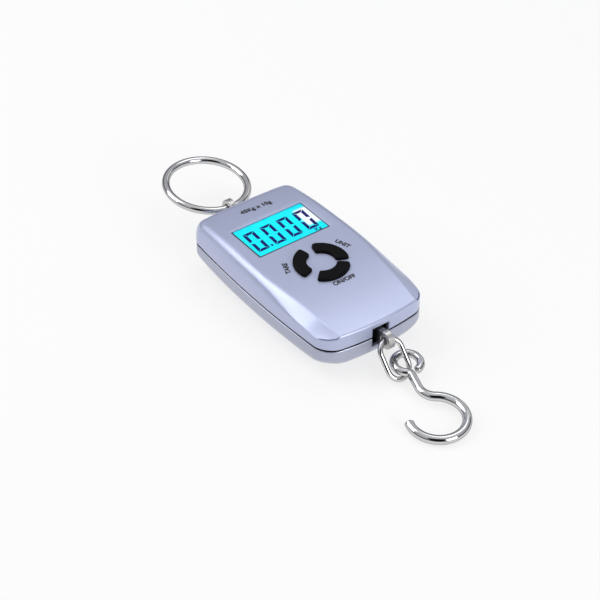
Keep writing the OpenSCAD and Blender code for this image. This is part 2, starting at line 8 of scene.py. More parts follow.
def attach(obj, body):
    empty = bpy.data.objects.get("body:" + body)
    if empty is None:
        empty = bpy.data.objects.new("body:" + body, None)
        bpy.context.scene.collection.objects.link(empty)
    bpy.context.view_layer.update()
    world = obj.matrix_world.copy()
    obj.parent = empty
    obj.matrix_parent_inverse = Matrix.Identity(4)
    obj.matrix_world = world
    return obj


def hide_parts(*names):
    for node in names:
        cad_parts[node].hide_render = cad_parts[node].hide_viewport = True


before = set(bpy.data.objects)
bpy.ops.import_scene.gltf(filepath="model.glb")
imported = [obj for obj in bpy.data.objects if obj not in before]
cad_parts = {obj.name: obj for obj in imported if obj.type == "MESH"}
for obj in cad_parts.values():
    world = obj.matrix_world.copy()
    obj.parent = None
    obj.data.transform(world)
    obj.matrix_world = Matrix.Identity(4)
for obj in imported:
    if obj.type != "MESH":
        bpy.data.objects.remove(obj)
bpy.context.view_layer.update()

# Front housing: the crowned upper shell, moulded in one piece and sprayed silver-lilac.
# A raised panel runs down its middle and a flute falls from each side of it to the outer wall.
# Four screws from the back clamp it to the rear housing along the parting line.
mm = 0.001
half_w, half_l, ring_l = 25.0, 44.75, 42.65
side_bow, end_bow, ring_bow = 2.0, 2.6, 1.0
hook_corner, ring_corner = 7.0, 4.4
parting, crest, crest_y, fall_y = 12.7, 23.0, 18.0, 0.0
hook_drop, ring_drop, fall_power = 3.8, 1.9, 2.5
skin, wall = 2.0, 1.6
panel_wide, panel_taper, panel_crown = 19.8, 1.0, 0.2
flute_step, flute_rail, rail_dip, crease_deep = 0.8, 6.0, 1.0, 1.0


def mix(a, b, t):
    return a + (b - a) * t


def ease(t):
    t = min(max(t, 0.0), 1.0)
    return t * t * (3.0 - 2.0 * t)


def to_hook(y, start, run):
    """Grows from 0 to 1 over a run of the length towards the hook."""
    return ease((start - y) / run)


def to_ring(y, start, run):
    """Grows from 0 to 1 over a run of the length towards the ring."""
    return ease((y - start) / run)


def bowed(x, y):
    end = ring_l - ring_bow * (x / half_w) ** 2 if y > 0 else half_l - end_bow * (x / half_w) ** 2
    return x * (1 - side_bow / half_w * (y / half_l) ** 2), y * end / half_l


def rim_point(turn):
    """A point of the housing's outline, before its sides are bowed, at a share of the way round."""
    lap = int(turn * 4)
    corner = ring_corner if lap % 4 in (0, 1) else hook_corner
    side, end, bend = half_l - corner, half_w - corner, corner * math.pi / 2
    quarter = side + bend + end
    s = (turn * 4 - lap) * quarter
    if lap % 2:
        s = quarter - s
    if s < side:
        x, y = half_w, s
    elif s < side + bend:
        x = end + corner * math.cos((s - side) / corner)
        y = side + corner * math.sin((s - side) / corner)
    else:
        x, y = quarter - s, half_l
    return (x if lap % 4 in (0, 3) else -x), (y if lap % 4 in (0, 1) else -y)


def drawn_in(turn, inset):
    """The outline point moved towards the housing's middle line, and the most it can move."""
    x, y = rim_point(turn)
    spine = min(max(y, half_w - half_l), half_l - half_w)
    reach = math.hypot(x, y - spine)
    return x * (1 - inset / reach), y + (spine - y) * inset / reach, reach


def crest_height(y):
    hook_side = max(fall_y - y, 0.0) / (fall_y + half_l)
    ring_side = max(y - crest_y, 0.0) / (half_l - crest_y)
    return crest - hook_drop * hook_side ** fall_power - ring_drop * ring_side ** 2


def panel_half(y):
    return panel_wide - panel_taper * to_hook(y, 2.0, 34.0)


def face_height(x, y, inset):
    """Height of the front face: the panel, the flutes beside it and the crease that they end in."""
    v = y / half_l
    panel = crest_height(y) - panel_crown * (x / half_w) ** 2
    beside = abs(x) - panel_half(y)
    if beside <= 0:
        return panel
    step = flute_step * to_hook(y, -32.0, 12.0) * ease(beside / 0.9)
    groove = ease((inset - 0.2) / 0.08) * (1 - ease((inset - 0.55) / 0.2))
    crease = crease_deep * to_hook(y, -40.0, 1.5) * groove
    rail = parting + flute_rail + 0.2 * v - 0.5 * v * v - rail_dip * to_hook(y, -31.0, 11.0)
    fall = (beside / (half_w - panel_half(y))) ** mix(1.2, 3.4, to_ring(y, -42.0, 56.0))
    return mix(panel - step, min(rail, panel - 0.3), fall) - crease * ease(beside / 0.6)


def edge_radius(x, y):
    """How softly the face rolls over into the wall: broad at the ends, tight along the flutes."""
    on_panel = ease((panel_half(y) + 0.6 - abs(x)) / 1.2)
    side = mix(0.5, 4.6, to_ring(y, -34.0, 50.0))
    hook_end = mix(side, mix(0.35, 1.2, on_panel), to_hook(y, -36.0, 5.0))
    return mix(hook_end, 4.2, to_ring(y, 36.0, 6.0) * ease((23.0 - abs(x)) / 9.0))


joint_gap, joint_edge = 0.34, 0.26
joint_rows = [("lip", 1.2, 0.03), ("lip", 0.9, joint_gap), ("lip", joint_edge, joint_gap),
              ("lip", 0.0, joint_gap + joint_edge)]
wall_rows = [("wall", k / 5, 0.0) for k in range(1, 5)]
face_rows = [0.1 * k for k in range(1, 16)] + [1.5 + 0.25 * k for k in range(1, 31)]
face_far, roll_power = 9.0, 0.72
front_rows = (joint_rows + wall_rows + [("edge", 90 * k / 9, 0.0) for k in range(10)]
              + [("face", d, 0.0) for d in face_rows] + [("rest", k / 10, 0.0) for k in range(1, 11)])
hollow_rows = ([("lip", 0.0, -1.0)] + wall_rows + [("edge", 90 * k / 3, 0.0) for k in range(4)]
               + [("face", d, 0.0) for d in face_rows[4::5]] + [("rest", k / 4, 0.0) for k in range(1, 5)])


def front_place(turn, row, thick, drop):
    """Where a point of the front shell lies: its row climbs the wall, rolls over and crosses the face."""
    kind, a, b = row
    radius = edge_radius(*rim_point(turn))
    if kind == "lip":
        x, y, _ = drawn_in(turn, thick + a)
        return Vector((*bowed(x, y), parting + b)) * mm
    if kind == "wall":
        x, y, _ = drawn_in(turn, thick)
        top = face_height(x, y, thick) - radius - drop
        return Vector((*bowed(x, y), mix(parting + joint_gap + joint_edge, top, a))) * mm
    inset, sink = thick + radius, drop
    if kind == "edge":
        inset -= radius * math.cos(math.radians(a)) ** roll_power
        sink += radius * (1 - math.sin(math.radians(a)) ** roll_power)
    elif kind == "face":
        inset += a
    else:
        inset = mix(thick + radius + face_far, drawn_in(turn, 0.0)[2], a)
    x, y, _ = drawn_in(turn, inset)
    return Vector((*bowed(x, y), face_height(x, y, inset) - sink)) * mm


def wrapped(around, rows, place, *sizes):
    """A closed solid from a grid that is wrapped round the housing's outline and capped at its rim."""
    bm = bmesh.new()
    last = len(rows) - 1
    bmesh.ops.create_grid(bm, x_segments=around, y_segments=last, size=0.5)
    for v in bm.verts:
        v.co = place(round((v.co.x + 0.5) * around) / around, rows[round((v.co.y + 0.5) * last)], *sizes)
    bmesh.ops.remove_doubles(bm, verts=bm.verts, dist=1e-6)
    bmesh.ops.contextual_create(bm, geom=[e for e in bm.edges if e.is_boundary])
    bmesh.ops.recalc_face_normals(bm, faces=bm.faces)
    return bm


def as_object(bm, name):
    mesh = bpy.data.meshes.new(name)
    bm.to_mesh(mesh)
    bm.free()
    obj = bpy.data.objects.new(name, mesh)
    bpy.context.scene.collection.objects.link(obj)
    return obj


def carve(obj, *cutters):
    """Cuts each cutter out of a piece for good and removes the cutter."""
    for cutter in cutters:
        cut = obj.modifiers.new("cut", "BOOLEAN")
        cut.operation = "DIFFERENCE"
        cut.solver = "EXACT"
        cut.material_mode = "TRANSFER"
        cut.object = cutter
        shape = bpy.data.meshes.new_from_object(obj.evaluated_get(bpy.context.evaluated_depsgraph_get()))
        obj.modifiers.clear()
        obj.data = shape
        bpy.data.objects.remove(cutter)
    obj.data.name = obj.name


def finish_faces(obj, angle=32, even=False):
    """Smooth shading between the sharp edges; even keeps broad flat faces flat up to their bevels."""
    obj.data.shade_smooth()
    obj.data.set_sharp_from_angle(angle=math.radians(angle))
    if even:
        level = obj.modifiers.new("even", "WEIGHTED_NORMAL")
        level.keep_sharp = True
        level.weight = 100


def slab(bm, lo, hi):
    """A block between two corners in millimetres."""
    made = bmesh.ops.create_cube(bm, size=1.0)["verts"]
    for v in made:
        for i in range(3):
            v.co[i] = (hi[i] if v.co[i] > 0 else lo[i]) * mm
    return made


def blocks(name, *corners):
    """One object of several blocks, each given by its two corners."""
    bm = bmesh.new()
    for lo, hi in corners:
        slab(bm, lo, hi)
    return as_object(bm, name)


window_w, window_h, window_y = 32.3, 19.0, 16.2
lens_top, lens_low, window_gap = 22.55, 21.95, 0.1
slot_w, slot_h = 7.3, 8.0


def window_slab(bm, grow, low, top):
    """A block as large as the window, grown on every side."""
    return slab(bm, (-window_w / 2 - grow, window_y - window_h / 2 - grow, low),
                (window_w / 2 + grow, window_y + window_h / 2 + grow, top))


def value_node(nodes, kind, **sockets):
    node = nodes.new(kind)
    for key, value in sockets.items():
        node.inputs[key].default_value = value
    return node


def noise(nodes, links, scale, detail):
    """A noise that stays fixed to the piece."""
    where = nodes.new("ShaderNodeTexCoord")
    grain = value_node(nodes, "ShaderNodeTexNoise", Scale=scale, Detail=detail)
    links.new(where.outputs["Object"], grain.inputs["Vector"])
    return grain.outputs["Fac"]


def span(nodes, links, value, low, high, start=0.0, end=1.0):
    """Turns a value that runs from start to end into one that runs from low to high."""
    node = value_node(nodes, "ShaderNodeMapRange",
                      **{"From Min": start, "From Max": end, "To Min": low, "To Max": high})
    links.new(value, node.inputs["Value"])
    return node.outputs["Result"]


def over(nodes, links, share, under, top):
    """Lays one colour over another by a share; each is a socket or a plain colour."""
    node = nodes.new("ShaderNodeMix")
    node.data_type = "RGBA"
    links.new(share, node.inputs["Factor"])
    for socket, colour in (("A", under), ("B", top)):
        if isinstance(colour, tuple):
            node.inputs[socket].default_value = (*colour, 1)
        else:
            links.new(colour, node.inputs[socket])
    return node.outputs["Result"]


def new_group(name, takes, gives):
    """An empty group of nodes with its sockets, each given by its name and kind."""
    group = bpy.data.node_groups.new(name, "ShaderNodeTree")
    for side, sockets in (("INPUT", takes), ("OUTPUT", gives)):
        for socket, kind in sockets.items():
            group.interface.new_socket(socket, in_out=side, socket_type="NodeSocket" + kind)
    nodes = group.nodes
    return group, nodes, group.links, nodes.new("NodeGroupInput"), nodes.new("NodeGroupOutput")


def paint_group():
    """Sprayed silver paint: fine flecks, faint clouding, a soft orange peel and a bare dark joint line."""
    group, nodes, links, came, gives = new_group(
        "sprayed_silver", {"Paint": "Color", "Fleck": "Color"},
        {"Color": "Color", "Roughness": "Float", "Normal": "Vector"})
    speck = span(nodes, links, noise(nodes, links, 9000.0, 1.0), 0.0, 0.5, 0.45, 0.75)
    flecked = over(nodes, links, speck, came.outputs["Paint"], came.outputs["Fleck"])
    where = nodes.new("ShaderNodeTexCoord")
    height = nodes.new("ShaderNodeSeparateXYZ")
    links.new(where.outputs["Object"], height.inputs["Vector"])
    joint = nodes.new("ShaderNodeMath")
    joint.operation = "COMPARE"
    joint.inputs[1].default_value, joint.inputs[2].default_value = parting * mm, (joint_gap + 0.03) * mm
    links.new(height.outputs["Z"], joint.inputs[0])
    bare = over(nodes, links, joint.outputs["Value"], flecked, (0.004, 0.004, 0.005))
    links.new(bare, gives.inputs["Color"])
    cloud = noise(nodes, links, 60.0, 2.0)
    links.new(span(nodes, links, cloud, 0.34, 0.42), gives.inputs["Roughness"])
    peel = value_node(nodes, "ShaderNodeBump", Strength=0.04, Distance=0.00005)
    links.new(noise(nodes, links, 1400.0, 1.0), peel.inputs["Height"])
    links.new(peel.outputs["Normal"], gives.inputs["Normal"])
    return group


sprayed_silver = paint_group()


def new_material(name):
    mat = bpy.data.materials.new(name)
    mat.use_nodes = True
    nodes = mat.node_tree.nodes
    return mat, nodes, mat.node_tree.links, nodes["Principled BSDF"]


def silver_paint(name, paint, fleck):
    mat, nodes, links, shader = new_material(name)
    coat = nodes.new("ShaderNodeGroup")
    coat.node_tree = sprayed_silver
    coat.inputs["Paint"].default_value = (*paint, 1)
    coat.inputs["Fleck"].default_value = (*fleck, 1)
    links.new(coat.outputs["Color"], shader.inputs["Base Color"])
    links.new(coat.outputs["Roughness"], shader.inputs["Roughness"])
    links.new(coat.outputs["Normal"], shader.inputs["Normal"])
    shader.inputs["Metallic"].default_value = 0.55
    shader.inputs["Coat Weight"].default_value = 0.25
    shader.inputs["Coat Roughness"].default_value = 0.18
    return mat


front_paint = silver_paint("front_paint", (0.46, 0.50, 0.69), (0.57, 0.61, 0.79))


def mottle_group():
    """Plain stock: a noise, drawn out along an axis or not, that runs between two tones and two glosses."""
    group, nodes, links, came, gives = new_group(
        "mottled_stock", {"Dark": "Color", "Light": "Color", "Scale": "Float", "Detail": "Float",
                          "Drawn Out": "Vector", "Smooth": "Float", "Rough": "Float"},
        {"Color": "Color", "Roughness": "Float"})
    where, mapping = nodes.new("ShaderNodeTexCoord"), nodes.new("ShaderNodeMapping")
    grain, gloss = nodes.new("ShaderNodeTexNoise"), nodes.new("ShaderNodeMapRange")
    links.new(where.outputs["Object"], mapping.inputs["Vector"])
    links.new(came.outputs["Drawn Out"], mapping.inputs["Scale"])
    links.new(mapping.outputs["Vector"], grain.inputs["Vector"])
    links.new(came.outputs["Scale"], grain.inputs["Scale"])
    links.new(came.outputs["Detail"], grain.inputs["Detail"])
    tone = over(nodes, links, grain.outputs["Fac"], came.outputs["Dark"], came.outputs["Light"])
    links.new(tone, gives.inputs["Color"])
    links.new(grain.outputs["Fac"], gloss.inputs["Value"])
    links.new(came.outputs["Smooth"], gloss.inputs["To Min"])
    links.new(came.outputs["Rough"], gloss.inputs["To Max"])
    links.new(gloss.outputs["Result"], gives.inputs["Roughness"])
    return group


mottled_stock = mottle_group()


def mottled(name, dark, light, scale, rough, detail=3.0, drawn_out=(1, 1, 1), metallic=0.0, specular=0.5):
    """A plain stock finish; rough is its range of roughness, or one number where that is even."""
    mat, nodes, links, shader = new_material(name)
    stock = nodes.new("ShaderNodeGroup")
    stock.node_tree = mottled_stock
    for socket, value in (("Dark", (*dark, 1)), ("Light", (*light, 1)), ("Scale", scale), ("Detail", detail),
                          ("Drawn Out", drawn_out)):
        stock.inputs[socket].default_value = value
    links.new(stock.outputs["Color"], shader.inputs["Base Color"])
    if isinstance(rough, tuple):
        stock.inputs["Smooth"].default_value, stock.inputs["Rough"].default_value = rough
        links.new(stock.outputs["Roughness"], shader.inputs["Roughness"])
    else:
        shader.inputs["Roughness"].default_value = rough
    shader.inputs["Metallic"].default_value = metallic
    shader.inputs["Specular IOR Level"].default_value = specular
    return mat


bare_plastic = mottled("bare_plastic", (0.004, 0.004, 0.005), (0.009, 0.009, 0.010), 1500, (0.55, 0.67),
                       specular=0.15)

front = as_object(wrapped(720, front_rows, front_place, 0.0, 0.0), "front_shell")
front.data.materials.append(front_paint)
hollow = as_object(wrapped(96, hollow_rows, front_place, wall, skin), "front_hollow")
hollow.data.materials.append(bare_plastic)

cut = bmesh.new()
window_slab(cut, window_gap, 15.0, lens_top)
window_hole = as_object(cut, "window_hole")
bevel_near, bevel_right, bevel_far = 0.3, 4.0, 6.0
cut = bmesh.new()
for v in window_slab(cut, window_gap, lens_top - 0.05, lens_top + 0.9):
    if v.co.z > lens_top * mm:
        v.co.x += (bevel_right if v.co.x > 0 else -bevel_near) * mm
        v.co.y += (bevel_far if v.co.y > window_y * mm else -bevel_near) * mm
window_bevel = as_object(cut, "window_bevel")


def slot_cutters(name):
    """The slots through both end walls, and the small chamfers round their mouths."""
    slots, mouths = bmesh.new(), bmesh.new()
    chamfer, reach, inside, outside = 0.35, 0.6, 36, 47
    for end, out in ((-1, half_l), (1, ring_l)):
        slab(slots, (-slot_w / 2, min(end * inside, end * outside), parting - slot_h / 2),
             (slot_w / 2, max(end * inside, end * outside), parting + slot_h / 2))
        mouth = slab(mouths, (-slot_w / 2, -1, parting - slot_h / 2), (slot_w / 2, 1, parting + slot_h / 2))
        for v in mouth:
            outer = v.co.y * end > 0
            if outer:
                v.co.x += math.copysign((chamfer + reach) * mm, v.co.x)
                v.co.z += math.copysign((chamfer + reach) * mm, v.co.z - parting * mm)
            v.co.y = end * (out + (reach if outer else -chamfer)) * mm
    bmesh.ops.recalc_face_normals(mouths, faces=mouths.faces)
    return as_object(slots, name + "_slots"), as_object(mouths, name + "_mouths")


key_y, key_ri, key_ro, key_span = -9.3, 5.6, 10.6, 97.0
key_angles = {"tare": 151.0, "unit": 26.0, "on_off": -86.0}
key_mid, key_w = (key_ro + key_ri) / 2, key_ro - key_ri
key_tilt = math.atan(fall_power * hook_drop / (fall_y + half_l)
                     * ((fall_y - key_y) / (fall_y + half_l)) ** (fall_power - 1))
key_frame = (Matrix.Translation(Vector((0, key_y, crest_height(key_y))) * mm)
             @ Matrix.Rotation(key_tilt, 4, "X"))


def verts_of(made):
    return [g for g in made if isinstance(g, bmesh.types.BMVert)]


def round_edges(bm, edges, radius, segments):
    bmesh.ops.bevel(bm, geom=list(edges), affect="EDGES", offset=radius, segments=segments, profile=0.5,
                    material=-1)


def key_form(middle, levels, round_off, dome=0.0):
    """A rounded bar raised through levels of height and growth, then bent round the ring of keys."""
    bm = bmesh.new()
    long = math.radians(key_span) * key_mid
    grown = [(long + 2 * g, key_w + 2 * g, z) for z, g in levels]
    bmesh.ops.create_grid(bm, x_segments=1, y_segments=1, size=0.5)
    bmesh.ops.scale(bm, vec=(grown[0][0], grown[0][1], 1), verts=bm.verts)
    bmesh.ops.translate(bm, vec=(0, 0, grown[0][2]), verts=bm.verts)
    bmesh.ops.bevel(bm, geom=bm.verts[:], affect="VERTICES", offset=round_off, segments=7, profile=0.5,
                    material=-1)
    top = bm.faces[:]
    for before, after in zip(grown, grown[1:]):
        made = bmesh.ops.extrude_face_region(bm, geom=top)["geom"]
        top = [g for g in made if isinstance(g, bmesh.types.BMFace)]
        verts = verts_of(made)
        bmesh.ops.scale(bm, vec=(after[0] / before[0], after[1] / before[1], 1), verts=verts)
        bmesh.ops.translate(bm, vec=(0, 0, after[2] - before[2]), verts=verts)
    if dome:
        round_edges(bm, top[0].edges, dome, 6)
    for axis, count in ((0, 36), (1, 8)):
        side = Vector((1 - axis, axis, 0))
        for k in range(1, count):
            bmesh.ops.bisect_plane(bm, geom=bm.verts[:] + bm.edges[:] + bm.faces[:], dist=1e-5,
                                   plane_co=side * (k / count - 0.5) * grown[0][axis], plane_no=side)
    open_edges = [e for e in bm.edges if e.is_boundary]
    if open_edges:
        bmesh.ops.contextual_create(bm, geom=open_edges)
    for v in bm.verts:
        angle, r = math.radians(middle) + v.co.x / key_mid, key_mid + v.co.y
        crown = 0.0
        if dome and v.co.z > levels[-1][0] - dome:
            crown = 0.25 * dome * (1 - (2 * v.co.y / key_w) ** 2)
        v.co = Vector((r * math.cos(angle), r * math.sin(angle), v.co.z + crown)) * mm
    bmesh.ops.recalc_face_normals(bm, faces=bm.faces)
    return bm


key_gap = 0.15
key_holes = []
for name, middle in key_angles.items():
    bm = key_form(middle, [(-4.0, key_gap), (1.0, key_gap)], 1.15)
    bm.transform(key_frame)
    key_holes.append(as_object(bm, "hole_" + name))

carve(front, hollow, window_hole, window_bevel, *slot_cutters("front"), *key_holes)
finish_faces(front)
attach(front, "body")
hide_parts("front_housing")

# Rear housing: the lower shell, moulded in the same plastic and sprayed to match.
# Its wall drops from the parting line and then turns in to a flat back with the battery opening.
# The screws sit in wells at its four corners.
rim_low, back_skin = 7.6, 3.0
belly_side, belly_end = 6.6, 12.0
rear_rows = (joint_rows + wall_rows + [("belly", 90 * k / 16, 0.0) for k in range(17)]
             + [("flat", k / 18, 0.0) for k in range(1, 19)])
rear_hollow_rows = ([("lip", 0.0, -1.0)] + wall_rows + [("belly", 90 * k / 5, 0.0) for k in range(6)]
                    + [("flat", k / 6, 0.0) for k in range(1, 7)])


def rear_place(turn, row, thick, lift):
    """Where a point of the rear shell lies: its row drops down the wall and turns in to the back."""
    kind, a, b = row
    x, y, reach = drawn_in(turn, thick)
    rim = rim_low + (y / half_l) ** 4
    if kind == "lip":
        x, y, _ = drawn_in(turn, thick + a)
        return Vector((*bowed(x, y), parting - b)) * mm
    if kind == "wall":
        return Vector((*bowed(x, y), mix(parting - joint_gap - joint_edge, rim, a))) * mm
    share = math.radians(90 - a) if kind == "belly" else 0.0
    power = mix(1.5, 1.15, to_hook(y, -34.0, 8.0) * ease((24.0 - abs(x)) / 9.0))
    pull = 1 - math.sin(share) ** power
    z = mix(lift, rim, 1 - math.cos(share) ** power)
    if kind == "flat":
        x, y, _ = drawn_in(turn, mix(thick, reach, a))
    x, y = bowed(x, y)
    return Vector((x * (1 - pull * belly_side / half_w), y * (1 - pull * belly_end / half_l), z)) * mm


rear_paint = silver_paint("rear_paint", (0.41, 0.435, 0.55), (0.52, 0.54, 0.65))
rear = as_object(wrapped(360, rear_rows, rear_place, 0.0, 0.0), "rear_shell")
rear.data.materials.append(rear_paint)
rear_hollow = as_object(wrapped(96, rear_hollow_rows, rear_place, wall, back_skin), "rear_hollow")
rear_hollow.data.materials.append(bare_plastic)

door_w, door_l, door_t, door_gap, door_sill = 35.0, 52.0, 1.5, 0.25, 1.7
latch_w, latch_l = 9.0, 1.6
bay_x, bay_w, bay_l = 11.05, 11.0, 47.9
door_hole = blocks("door_hole", ((-door_w / 2 - door_gap, -door_l / 2 - door_gap, -1),
                                 (door_w / 2 + door_gap, door_l / 2 + door_gap, door_sill)))
latch_hole = blocks("latch_hole", ((-latch_w / 2 - door_gap, door_l / 2 - 1, -1),
                                   (latch_w / 2 + door_gap, door_l / 2 + latch_l + door_gap, door_sill)))
bay_holes = blocks("bay_holes", *[((middle - bay_w / 2, -bay_l / 2, 1), (middle + bay_w / 2, bay_l / 2, 6))
                                  for middle in (-bay_x, bay_x)])
screw_x, screw_y, well_r, well_deep, well_z = 17.0, 35.5, 2.25 * mm, 9 * mm, 3.7
cut = bmesh.new()
for x in (-screw_x, screw_x):
    for y in (-screw_y, screw_y):
        well = bmesh.ops.create_cone(cut, cap_ends=True, segments=40, radius1=well_r, radius2=well_r,
                                     depth=well_deep)["verts"]
        bmesh.ops.translate(cut, verts=well, vec=Vector((x, y, well_z)) * mm)
screw_wells = as_object(cut, "screw_wells")
carve(rear, rear_hollow, door_hole, latch_hole, bay_holes, *slot_cutters("rear"), screw_wells)
finish_faces(rear)
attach(rear, "body")
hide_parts("rear_housing")

# Display: a clear acrylic pane set into the front housing over a liquid crystal glass lit from behind.
# The digits are dark crystal segments on the glass; the pane's rim is bevelled by its recess.
# At the right end the glass is washed out to white: a painted glare, the reflection of a light in the pane
# painted onto the glass.
bm = bmesh.new()
window_slab(bm, 0.0, lens_low, lens_top)
round_edges(bm, bm.edges, 0.12 * mm, 2)
lens = as_object(bm, "window_pane")
finish_faces(lens, even=True)
clear_acrylic, nodes, links, shader = new_material("clear_acrylic")
shader.inputs["Transmission Weight"].default_value = 1.0
shader.inputs["IOR"].default_value = 1.2
shader.inputs["Base Color"].default_value = (0.98, 1.0, 1.0, 1)
smear = noise(nodes, links, 300.0, 3.0)
links.new(span(nodes, links, smear, 0.01, 0.05), shader.inputs["Roughness"])
lens.data.materials.append(clear_acrylic)
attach(lens, "body")
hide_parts("display_window")

glass_top, glass_low = lens_low - 0.08, 18.6
bm = bmesh.new()
window_slab(bm, -0.05, glass_low, glass_top)
round_edges(bm, bm.edges, 0.1 * mm, 2)
crystal = as_object(bm, "crystal_glass")
finish_faces(crystal, even=True)
backlit_crystal_with_glare, nodes, links, shader = new_material("backlit_crystal_with_glare")
glow = span(nodes, links, noise(nodes, links, 70.0, 1.0), 0.0, 1.0, 0.3, 0.7)
cyan = over(nodes, links, glow, (0.0, 0.80, 0.96), (0.0, 0.92, 1.0))
where = nodes.new("ShaderNodeTexCoord")
split = nodes.new("ShaderNodeSeparateXYZ")
links.new(where.outputs["Object"], split.inputs["Vector"])
# painted glare: a white patch faded in at the right end of the glass, standing in for the reflection of a
# light in the pane
painted_glare = None
for axis, start, end in (("X", 9.9, 11.5), ("Y", 11.7, 13.6), ("Y", 24.0, 22.4)):
    fade = value_node(nodes, "ShaderNodeMapRange", **{"From Min": start * mm, "From Max": end * mm})
    fade.interpolation_type = "SMOOTHSTEP"
    links.new(split.outputs[axis], fade.inputs["Value"])
    if painted_glare:
        links.new(painted_glare, fade.inputs["To Max"])
    painted_glare = fade.outputs["Result"]
# the painted glare washes the backlit cyan out to white
links.new(over(nodes, links, painted_glare, cyan, (1, 1, 1)), shader.inputs["Emission Color"])
shader.inputs["Emission Strength"].default_value = 0.98
shader.inputs["Base Color"].default_value = (0.0, 0.10, 0.12, 1)
shader.inputs["Roughness"].default_value = 0.4
shader.inputs["Specular IOR Level"].default_value = 0.0
crystal.data.materials.append(backlit_crystal_with_glare)
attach(crystal, "body")
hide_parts("lcd_panel")

digit_w, digit_h, digit_bar, digit_slant = 3.6, 10.8, 1.35, 0.05
digit_y, digit_gap, ink = window_y + 0.1, 0.15, 0.02
digit_places, point_at = (-11.16, -3.36, 4.13, 11.68), (-7.67, 11.0)


def segment(bm, middle, turn, outer, near, far):
    """One bar of a digit, mitred at its ends: outer is its long side, near and far what an end loses."""
    made = bmesh.ops.create_grid(bm, x_segments=1, y_segments=1, size=0.5)["verts"]
    for v in made:
        along = v.co.x * outer
        if v.co.y < 0:
            along += near if v.co.x < 0 else -far
        v.co = Vector((along, v.co.y * digit_bar, 0))
    bmesh.ops.rotate(bm, verts=made, cent=(0, 0, 0), matrix=Matrix.Rotation(math.radians(turn), 3, "Z"))
    for v in made:
        x, y = v.co.x + middle[0], v.co.y + middle[1]
        v.co = Vector((x + digit_slant * (y - window_y), y, glass_top + ink)) * mm


level = digit_w + digit_bar - 2 * digit_gap
tall = (digit_h + digit_bar) / 2 - 3 * digit_gap
bm = bmesh.new()
for place in digit_places:
    for end in (-1, 1):
        segment(bm, (place, digit_y + end * digit_h / 2), 0 if end > 0 else 180, level, digit_bar, digit_bar)
        for side in (-1, 1):
            ends = (digit_bar / 2, digit_bar) if side * end < 0 else (digit_bar, digit_bar / 2)
            middle = (place + side * digit_w / 2, digit_y + end * (tall / 2 + 2 * digit_gap))
            segment(bm, middle, -90 * side, tall, *ends)
point = bmesh.ops.create_grid(bm, x_segments=1, y_segments=1, size=0.5 * mm)["verts"]
bmesh.ops.translate(bm, verts=point, vec=Vector((*point_at, glass_top + ink)) * mm)
made = bmesh.ops.extrude_face_region(bm, geom=bm.faces[:])["geom"]
bmesh.ops.translate(bm, verts=verts_of(made), vec=(0, 0, ink * mm))
bmesh.ops.recalc_face_normals(bm, faces=bm.faces)
digits = as_object(bm, "digit_segments")
dark_crystal = mottled("dark_crystal", (0.001, 0.001, 0.14), (0.002, 0.002, 0.22), 900, 0.6, detail=1.0,
                       specular=0.0)
digits.data.materials.append(dark_crystal)
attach(digits, "body")


def lettering(text, size, spot, turn, height_at, name, bold=0.0):
    """Printed letters, laid flat on the surface below them. spot is the middle of the word."""
    curve = bpy.data.curves.new(name, "FONT")
    curve.body = text
    curve.size = 1.0
    curve.offset = bold
    curve.extrude = ink / 2 / size
    curve.align_x, curve.align_y = "CENTER", "CENTER"
    temp = bpy.data.objects.new(name, curve)
    bpy.context.scene.collection.objects.link(temp)
    mesh = bpy.data.meshes.new_from_object(temp.evaluated_get(bpy.context.evaluated_depsgraph_get()))
    bpy.data.objects.remove(temp)
    c, s = math.cos(math.radians(turn)), math.sin(math.radians(turn))
    for v in mesh.vertices:
        x, y = v.co.x * size, v.co.y * size
        x, y = spot[0] + c * x - s * y, spot[1] + s * x + c * y
        v.co = Vector((x, y, height_at(x, y) + v.co.z * size)) * mm
    bm = bmesh.new()
    bm.from_mesh(mesh)
    bpy.data.meshes.remove(mesh)
    bmesh.ops.remove_doubles(bm, verts=bm.verts, dist=1e-7)
    bmesh.ops.recalc_face_normals(bm, faces=bm.faces)
    return as_object(bm, name)


unit_mark = lettering("Kg", 2.7, (12.2, 8.95), 0, lambda x, y: glass_top + ink, "unit_mark", 0.02)
unit_mark.data.materials.append(dark_crystal)
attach(unit_mark, "body")

# Key legends, the weighing range and the pane's edge line: black pad printing on the paint and the pane.
# It lies a few hundredths of a millimetre proud and follows the face's crown.
pad_print = mottled("pad_print", (0.006, 0.006, 0.008), (0.03, 0.03, 0.035), 2500, 0.55, detail=2.0)


def on_face(x, y):
    return face_height(x, y, 10.0) + ink


for word, size, spot, turn, name, bold in (
        ("45Kg x 10g", 2.95, (0.9, 33.5), -3.3, "range_print", 0.02),
        ("ON/OFF", 2.65, (1.1, -21.7), -1.8, "on_off_print", 0.05),
        ("UNIT", 2.7, (13.2, -4.8), -70.8, "unit_print", 0.05),
        ("TARE", 2.6, (-12.2, -4.4), 70.2, "tare_print", 0.05)):
    word_print = lettering(word, size, spot, turn, on_face, name, bold)
    word_print.data.materials.append(pad_print)
    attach(word_print, "body")

left, right, near, far = -window_w / 2, window_w / 2, window_y - window_h / 2, window_y + window_h / 2
line_left, line_right, line_near, line_far = left + 0.6, right - 0.3, near + 0.7, far - 0.2
line_top = lens_top + ink
pane_border = blocks("pane_border", ((left, near, lens_top), (line_left, far, line_top)),
                     ((line_right, near, lens_top), (right, far, line_top)),
                     ((line_left, near, lens_top), (line_right, line_near, line_top)),
                     ((line_left, line_far, lens_top), (line_right, far, line_top)))
pane_border.data.materials.append(pad_print)
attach(pane_border, "body")

